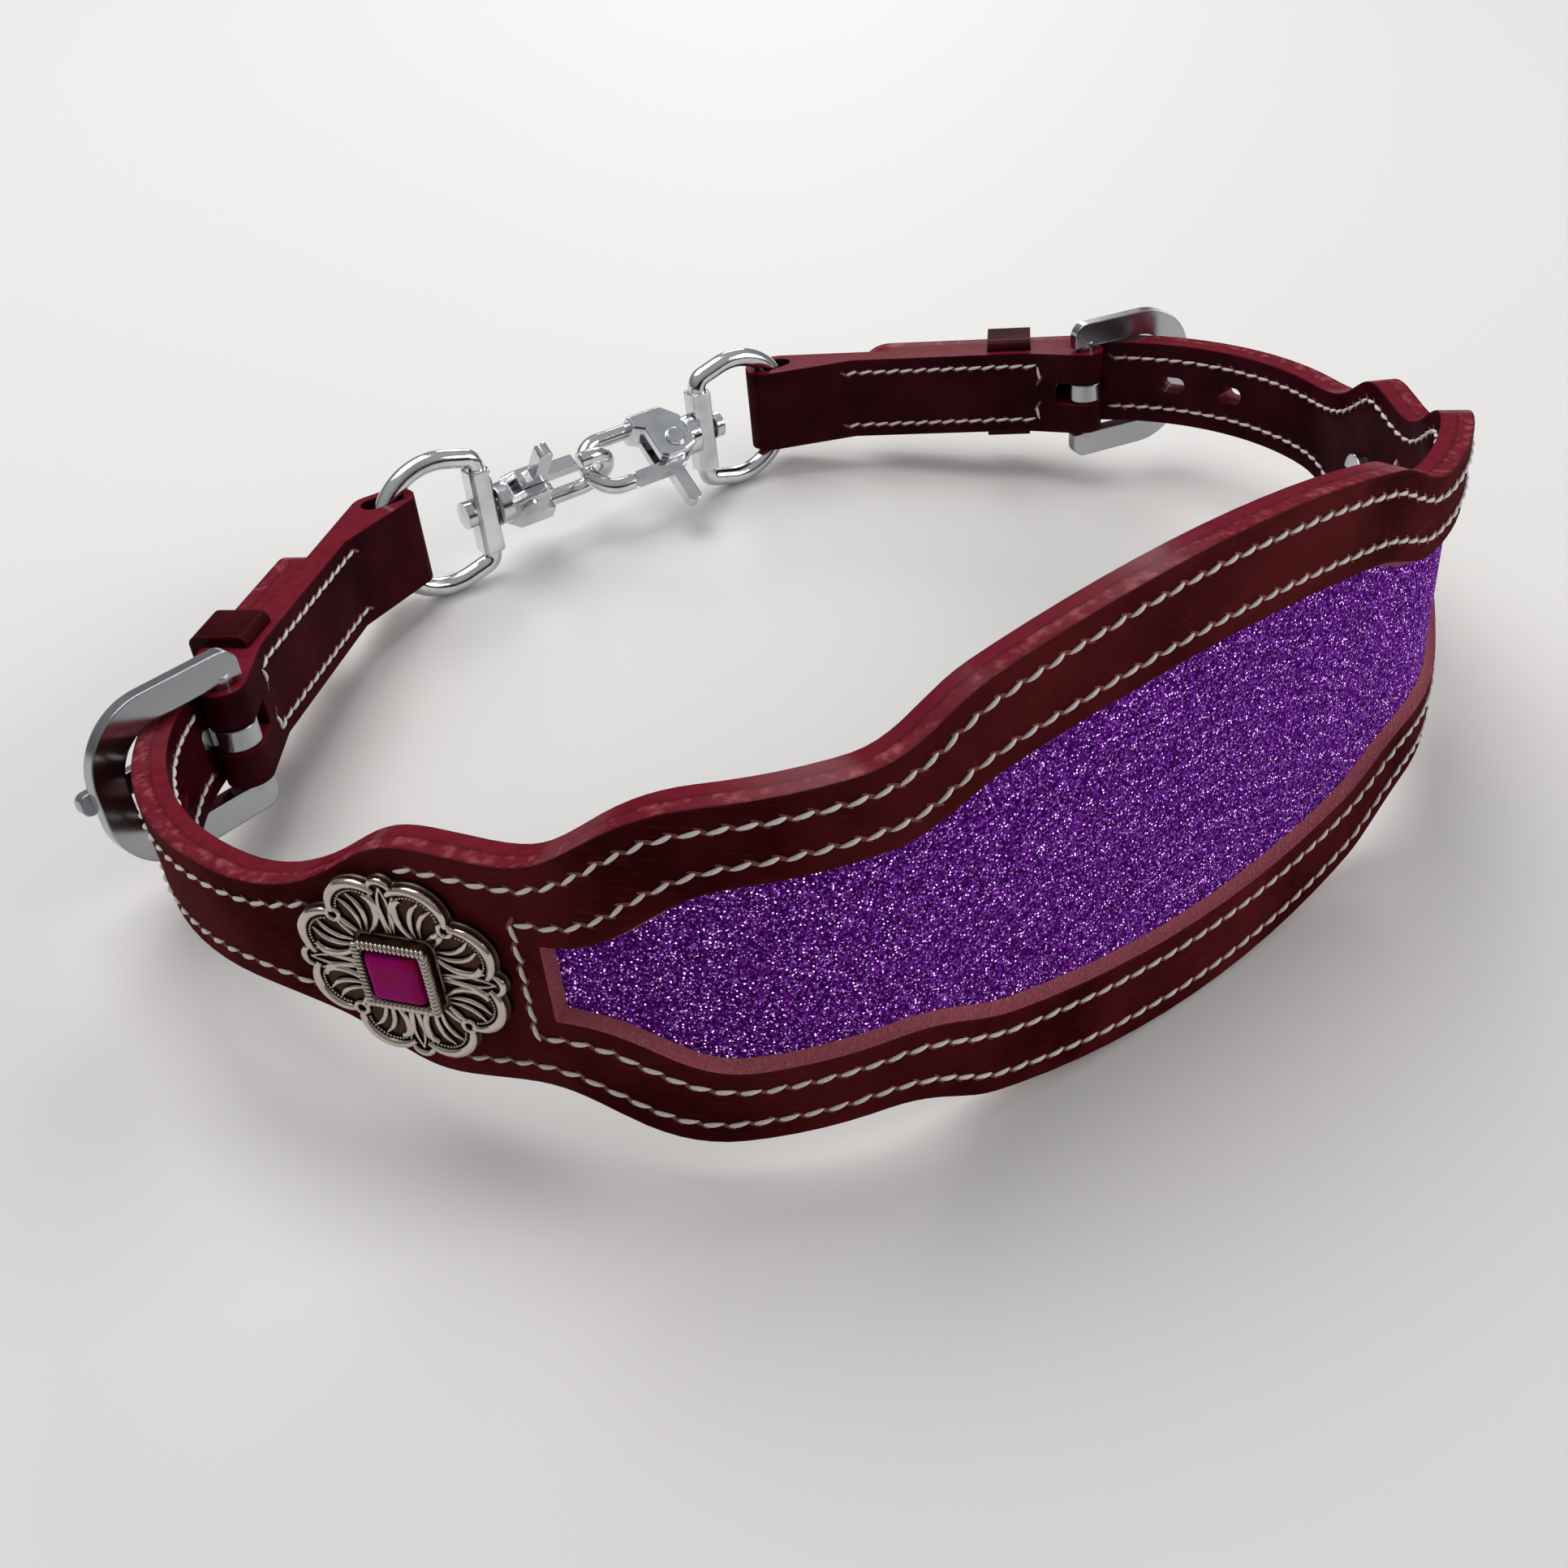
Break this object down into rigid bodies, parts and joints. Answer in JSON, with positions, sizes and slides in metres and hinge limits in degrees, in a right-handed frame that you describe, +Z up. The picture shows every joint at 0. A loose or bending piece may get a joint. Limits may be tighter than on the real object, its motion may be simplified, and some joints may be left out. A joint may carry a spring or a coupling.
{
  "type": "noseband strap",
  "caption": "Scalloped leather show strap with a glitter window, conchos, buckled billets and two swivel trigger snaps hooked together into a closed loop.",
  "frame": {"origin": "middle of the footprint on the floor the strap stands on", "axes": "+X to the right hand end seen from behind the panel, +Y from the panel towards the snaps, +Z up"},
  "size_m": [0.268, 0.1892, 0.0829],
  "materials": {
    "face_leather": "waxed, slightly worn",
    "lining_leather": "smooth, burnished edges",
    "glitter_sheet": "coarse glitter",
    "antique_silver": "antiqued",
    "stone": "glossy square cabochon",
    "nickel": "bright nickel plate",
    "stainless": "satin"
  },
  "bodies": {
    "collar": {"panel_face": "face_leather", "panel_lining": "lining_leather", "glitter_inlay": "glitter_sheet", "chape_left": "lining_leather", "chape_right": "lining_leather", "keeper_left": "face_leather", "keeper_right": "face_leather", "concho_left": "antique_silver", "concho_right": "antique_silver", "concho_stone_left": "stone", "concho_stone_right": "stone", "concho_screw_left": "nickel", "concho_screw_right": "nickel"},
    "eye_left": {"swivel_eye_left": "nickel"},
    "eye_right": {"swivel_eye_right": "nickel"},
    "snap_left": {"snap_hook_left": "nickel", "gate_rivet_left": "nickel"},
    "snap_right": {"snap_hook_right": "nickel", "gate_rivet_right": "nickel"},
    "gate_left": {"snap_gate_left": "nickel"},
    "gate_right": {"snap_gate_right": "nickel"},
    "frame_left": {"buckle_frame_left": "stainless"},
    "frame_right": {"buckle_frame_right": "stainless"},
    "tongue_left": {"buckle_tongue_left": "stainless"},
    "tongue_right": {"buckle_tongue_right": "stainless"}
  },
  "joints": [
    {"name": "right_eye_swing", "type": "hinge", "parent": "collar", "child": "eye_right", "pos_m": [0.0511, 0.08618, 0.01615], "axis": [0, 0.1456, 0.9893], "range_deg": [-6, 6]},
    {"name": "left_eye_swing", "type": "hinge", "parent": "collar", "child": "eye_left", "pos_m": [-0.0511, 0.08618, 0.01615], "axis": [0, 0.1456, 0.9893], "range_deg": [-6, 6]},
    {"name": "right_snap_swivel", "type": "hinge", "parent": "eye_right", "child": "snap_right", "pos_m": [0.0292, 0.08618, 0.01615], "axis": [1, 0, 0], "continuous": true},
    {"name": "left_snap_swivel", "type": "hinge", "parent": "eye_left", "child": "snap_left", "pos_m": [-0.0292, 0.08618, 0.01615], "axis": [1, 0, 0], "continuous": true},
    {"name": "right_gate", "type": "hinge", "parent": "snap_right", "child": "gate_right", "pos_m": [0.0197, 0.08514, 0.01556], "axis": [0, 0.4944, -0.8692], "range_deg": [0, 24], "stiffness_Nm_per_rad": 0.02, "springref_deg": -22.92},
    {"name": "left_gate", "type": "hinge", "parent": "snap_left", "child": "gate_left", "pos_m": [-0.0197, 0.08559, 0.01719], "axis": [0, 0.8692, 0.4944], "range_deg": [0, 24], "stiffness_Nm_per_rad": 0.02, "springref_deg": -22.92},
    {"name": "right_buckle_frame", "type": "hinge", "parent": "collar", "child": "frame_right", "pos_m": [0.10494, 0.03682, 0.02341], "axis": [0, 0.1456, 0.9893], "range_deg": [0, 4]},
    {"name": "left_buckle_frame", "type": "hinge", "parent": "collar", "child": "frame_left", "pos_m": [-0.10494, 0.03682, 0.02341], "axis": [0, -0.1456, -0.9893], "range_deg": [0, 4]},
    {"name": "right_buckle_tongue", "type": "hinge", "parent": "frame_right", "child": "tongue_right", "pos_m": [0.10494, 0.03682, 0.02341], "axis": [0, 0.1456, 0.9893], "range_deg": [0, 4]},
    {"name": "left_buckle_tongue", "type": "hinge", "parent": "frame_left", "child": "tongue_left", "pos_m": [-0.10494, 0.03682, 0.02341], "axis": [0, -0.1456, -0.9893], "range_deg": [0, 4]}
  ],
  "couplings": [
    {"joint": "left_eye_swing", "follows": "right_eye_swing", "ratio": -1},
    {"joint": "left_snap_swivel", "follows": "right_snap_swivel", "ratio": 1}
  ]
}
